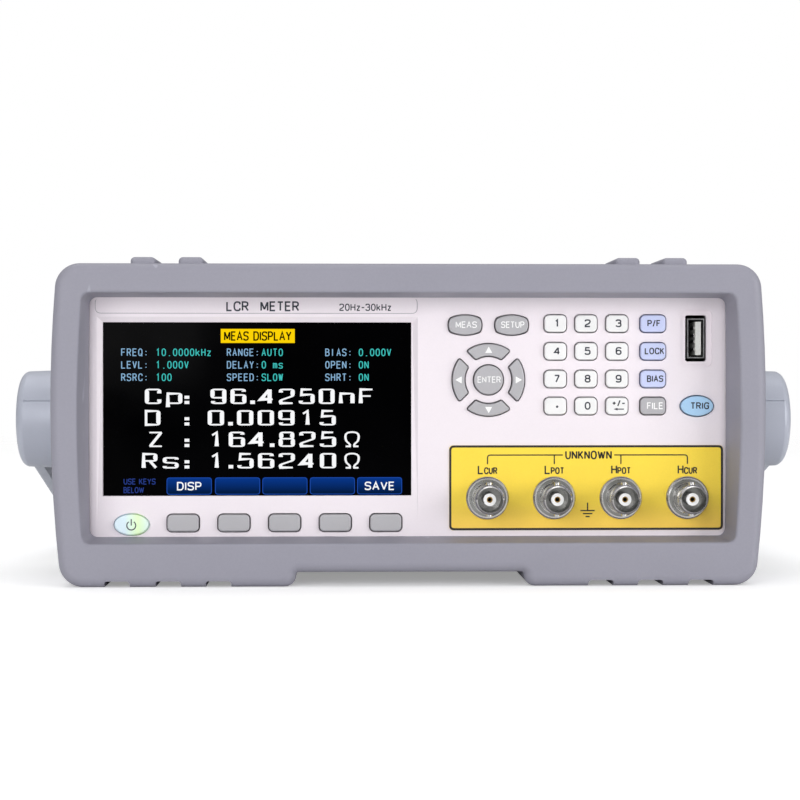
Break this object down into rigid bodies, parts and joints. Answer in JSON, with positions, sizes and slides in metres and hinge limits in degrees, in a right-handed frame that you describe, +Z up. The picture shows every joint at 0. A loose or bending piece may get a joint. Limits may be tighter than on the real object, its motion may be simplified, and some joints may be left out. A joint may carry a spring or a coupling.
{
  "type": "lcr meter",
  "caption": "Bench LCR meter: boxed instrument in rubber bumpers with display, keypad, coaxial test terminals and a folding carry handle.",
  "frame": {"origin": "centre of the footprint on the bench, under the rubber feet", "axes": "+Z up, the front panel faces -Y, X runs along the panel to its right side seen from the front"},
  "size_m": [0.2674, 0.36, 0.1062],
  "materials": {
    "bumper_rubber": "matte, fine moulded texture",
    "panel_plastic": "satin off-white",
    "handle_plastic": "satin silver grey",
    "boss_plastic": "satin dark grey",
    "case_paint": "fine textured powder coat",
    "rear_paint": "fine textured powder coat",
    "black_glass": "gloss",
    "display_frame": "matte",
    "silicone_mat": "matte",
    "circuit_board": "solder mask",
    "label_yellow": "printed film",
    "nickel": "nickel plate",
    "ptfe": "satin",
    "gold": "gold plate",
    "usb_steel": "plated",
    "black_plastic": "satin",
    "port_shell": "plated",
    "screw_steel": "zinc",
    "standoff_brass": "plain",
    "ribbon_grey": "matte",
    "key_grey": "satin",
    "key_white": "satin",
    "key_lavender": "satin",
    "key_blue": "satin",
    "key_lit": "translucent"
  },
  "bodies": {
    "root": {"front_bumper": "bumper_rubber", "rear_bumper": "bumper_rubber", "front_panel": "panel_plastic", "display_window": "black_glass", "display_module": "display_frame", "keypad_mat": "silicone_mat", "keypad_board": "circuit_board", "terminal_label": "label_yellow", "bnc_shells": "nickel", "bnc_insulators": "ptfe", "bnc_contacts": "gold", "bnc_nuts": "nickel", "usb_socket": "usb_steel", "top_cover": "case_paint", "chassis": "case_paint", "pivot_bosses": "boss_plastic", "rear_panel": "rear_paint", "fan_housing": "black_plastic", "mains_inlet": "black_plastic", "interface_ports": "port_shell", "main_board": "circuit_board", "power_supply": "circuit_board", "board_standoffs": "standoff_brass", "ribbon_cables": "ribbon_grey", "case_screws": "screw_steel"},
    "handle_grip": {"handle_grip": "handle_plastic"},
    "handle_arm_left": {"handle_arm_left": "handle_plastic"},
    "handle_arm_right": {"handle_arm_right": "handle_plastic"},
    "fan_rotor": {"fan_rotor": "black_plastic"},
    "fuse_drawer": {"fuse_drawer": "black_plastic"},
    "power_button": {"power_button": "key_lit"},
    "meas_key": {"meas_key": "key_grey"},
    "setup_key": {"setup_key": "key_grey"},
    "enter_key": {"enter_key": "key_grey"},
    "up_key": {"up_key": "key_grey"},
    "left_key": {"left_key": "key_grey"},
    "down_key": {"down_key": "key_grey"},
    "right_key": {"right_key": "key_grey"},
    "trigger_key": {"trigger_key": "key_blue"},
    "soft_key_1": {"soft_key_1": "key_grey"},
    "soft_key_2": {"soft_key_2": "key_grey"},
    "soft_key_3": {"soft_key_3": "key_grey"},
    "soft_key_4": {"soft_key_4": "key_grey"},
    "soft_key_5": {"soft_key_5": "key_grey"},
    "digit_0_key": {"digit_0_key": "key_white"},
    "digit_1_key": {"digit_1_key": "key_white"},
    "digit_2_key": {"digit_2_key": "key_white"},
    "digit_3_key": {"digit_3_key": "key_white"},
    "digit_4_key": {"digit_4_key": "key_white"},
    "digit_5_key": {"digit_5_key": "key_white"},
    "digit_6_key": {"digit_6_key": "key_white"},
    "digit_7_key": {"digit_7_key": "key_white"},
    "digit_8_key": {"digit_8_key": "key_white"},
    "digit_9_key": {"digit_9_key": "key_white"},
    "point_key": {"point_key": "key_white"},
    "sign_key": {"sign_key": "key_white"},
    "pass_fail_key": {"pass_fail_key": "key_lavender"},
    "lock_key": {"lock_key": "key_lavender"},
    "bias_key": {"bias_key": "key_lavender"},
    "file_key": {"file_key": "key_grey"}
  },
  "joints": [
    {"name": "handle_fold", "type": "hinge", "parent": "root", "child": "handle_grip", "pos_m": [0, -0.123, 0.053], "axis": [-1, 0, 0], "range_deg": [0, 310]},
    {"name": "handle_pull_left", "type": "slide", "parent": "handle_grip", "child": "handle_arm_left", "axis": [-1, 0, 0], "range_m": [0, 0.0045]},
    {"name": "handle_pull_right", "type": "slide", "parent": "handle_grip", "child": "handle_arm_right", "axis": [1, 0, 0], "range_m": [0, 0.0045]},
    {"name": "fan_spin", "type": "hinge", "parent": "root", "child": "fan_rotor", "pos_m": [-0.062, 0.158, 0.054], "axis": [0, 1, 0], "continuous": true},
    {"name": "fuse_drawer_slide", "type": "slide", "parent": "root", "child": "fuse_drawer", "axis": [0, 1, 0], "range_m": [0, 0.016]},
    {"name": "key_power_press", "type": "slide", "parent": "root", "child": "power_button", "axis": [0, 1, 0], "range_m": [0, 0.001]},
    {"name": "key_soft_1_press", "type": "slide", "parent": "root", "child": "soft_key_1", "axis": [0, 1, 0], "range_m": [0, 0.001]},
    {"name": "key_enter_press", "type": "slide", "parent": "root", "child": "enter_key", "axis": [0, 1, 0], "range_m": [0, 0.001]},
    {"name": "key_up_press", "type": "slide", "parent": "root", "child": "up_key", "axis": [0, 1, 0], "range_m": [0, 0.001]},
    {"name": "key_digit_5_press", "type": "slide", "parent": "root", "child": "digit_5_key", "axis": [0, 1, 0], "range_m": [0, 0.001]},
    {"name": "key_trigger_press", "type": "slide", "parent": "root", "child": "trigger_key", "axis": [0, 1, 0], "range_m": [0, 0.001]},
    {"name": "key_lock_press", "type": "slide", "parent": "root", "child": "lock_key", "axis": [0, 1, 0], "range_m": [0, 0.001]},
    {"name": "key_meas_press", "type": "slide", "parent": "root", "child": "meas_key", "axis": [0, 1, 0], "range_m": [0, 0.001]},
    {"name": "key_setup_press", "type": "slide", "parent": "root", "child": "setup_key", "axis": [0, 1, 0], "range_m": [0, 0.001]},
    {"name": "key_left_press", "type": "slide", "parent": "root", "child": "left_key", "axis": [0, 1, 0], "range_m": [0, 0.001]},
    {"name": "key_down_press", "type": "slide", "parent": "root", "child": "down_key", "axis": [0, 1, 0], "range_m": [0, 0.001]},
    {"name": "key_right_press", "type": "slide", "parent": "root", "child": "right_key", "axis": [0, 1, 0], "range_m": [0, 0.001]},
    {"name": "key_soft_2_press", "type": "slide", "parent": "root", "child": "soft_key_2", "axis": [0, 1, 0], "range_m": [0, 0.001]},
    {"name": "key_soft_3_press", "type": "slide", "parent": "root", "child": "soft_key_3", "axis": [0, 1, 0], "range_m": [0, 0.001]},
    {"name": "key_soft_4_press", "type": "slide", "parent": "root", "child": "soft_key_4", "axis": [0, 1, 0], "range_m": [0, 0.001]},
    {"name": "key_soft_5_press", "type": "slide", "parent": "root", "child": "soft_key_5", "axis": [0, 1, 0], "range_m": [0, 0.001]},
    {"name": "key_digit_0_press", "type": "slide", "parent": "root", "child": "digit_0_key", "axis": [0, 1, 0], "range_m": [0, 0.001]},
    {"name": "key_digit_1_press", "type": "slide", "parent": "root", "child": "digit_1_key", "axis": [0, 1, 0], "range_m": [0, 0.001]},
    {"name": "key_digit_2_press", "type": "slide", "parent": "root", "child": "digit_2_key", "axis": [0, 1, 0], "range_m": [0, 0.001]},
    {"name": "key_digit_3_press", "type": "slide", "parent": "root", "child": "digit_3_key", "axis": [0, 1, 0], "range_m": [0, 0.001]},
    {"name": "key_digit_4_press", "type": "slide", "parent": "root", "child": "digit_4_key", "axis": [0, 1, 0], "range_m": [0, 0.001]},
    {"name": "key_digit_6_press", "type": "slide", "parent": "root", "child": "digit_6_key", "axis": [0, 1, 0], "range_m": [0, 0.001]},
    {"name": "key_digit_7_press", "type": "slide", "parent": "root", "child": "digit_7_key", "axis": [0, 1, 0], "range_m": [0, 0.001]},
    {"name": "key_digit_8_press", "type": "slide", "parent": "root", "child": "digit_8_key", "axis": [0, 1, 0], "range_m": [0, 0.001]},
    {"name": "key_digit_9_press", "type": "slide", "parent": "root", "child": "digit_9_key", "axis": [0, 1, 0], "range_m": [0, 0.001]},
    {"name": "key_point_press", "type": "slide", "parent": "root", "child": "point_key", "axis": [0, 1, 0], "range_m": [0, 0.001]},
    {"name": "key_sign_press", "type": "slide", "parent": "root", "child": "sign_key", "axis": [0, 1, 0], "range_m": [0, 0.001]},
    {"name": "key_pass_fail_press", "type": "slide", "parent": "root", "child": "pass_fail_key", "axis": [0, 1, 0], "range_m": [0, 0.001]},
    {"name": "key_bias_press", "type": "slide", "parent": "root", "child": "bias_key", "axis": [0, 1, 0], "range_m": [0, 0.001]},
    {"name": "key_file_press", "type": "slide", "parent": "root", "child": "file_key", "axis": [0, 1, 0], "range_m": [0, 0.001]}
  ]
}
